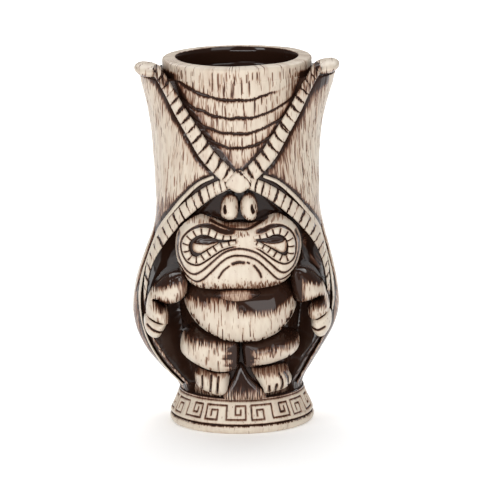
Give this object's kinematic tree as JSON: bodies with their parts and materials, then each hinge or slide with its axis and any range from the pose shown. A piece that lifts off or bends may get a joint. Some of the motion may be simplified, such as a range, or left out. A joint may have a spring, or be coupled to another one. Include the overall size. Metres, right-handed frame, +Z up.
{
  "type": "tiki mug",
  "caption": "Tall glazed ceramic mug: a flared cup in a bark cape, with a carved figure in a niche at the front and a flared key-pattern base.",
  "frame": {"origin": "on the resting plane of the foot, under the middle of the object's width and depth", "axes": "+Z up through the mouth, the figure faces -Y, the figure's left side is +X"},
  "size_m": [0.1004, 0.0926, 0.18],
  "materials": {
    "cream_glaze": "cream glaze with brown wash settled in the carved lines, glossy",
    "brown_wash_glaze": "cream glaze under a heavy brown wash, glossy",
    "dark_glaze": "dark brown glaze, mirror gloss"
  },
  "bodies": {
    "root": {"cup_wall": "dark_glaze", "rim_lip": "cream_glaze", "key_band": "cream_glaze", "foot_ring": "cream_glaze", "nose": "brown_wash_glaze", "crossing_block": "cream_glaze", "lip": "brown_wash_glaze", "eye_ring_right": "brown_wash_glaze", "eye_right": "brown_wash_glaze", "eye_ring_left": "brown_wash_glaze", "eye_left": "brown_wash_glaze", "head": "cream_glaze", "belly": "cream_glaze", "loincloth": "brown_wash_glaze", "thigh_right": "cream_glaze", "foot_right": "cream_glaze", "hand_right": "cream_glaze", "arm_right": "cream_glaze", "thigh_left": "cream_glaze", "foot_left": "cream_glaze", "hand_left": "cream_glaze", "arm_left": "cream_glaze", "ear_right": "cream_glaze", "brow_band_right": "cream_glaze", "arch_band_right": "cream_glaze", "arch_rail_right": "cream_glaze", "ear_left": "cream_glaze", "brow_band_left": "cream_glaze", "arch_band_left": "cream_glaze", "arch_rail_left": "cream_glaze", "forehead_panel": "cream_glaze", "bark_cape": "cream_glaze"}
  },
  "joints": []
}
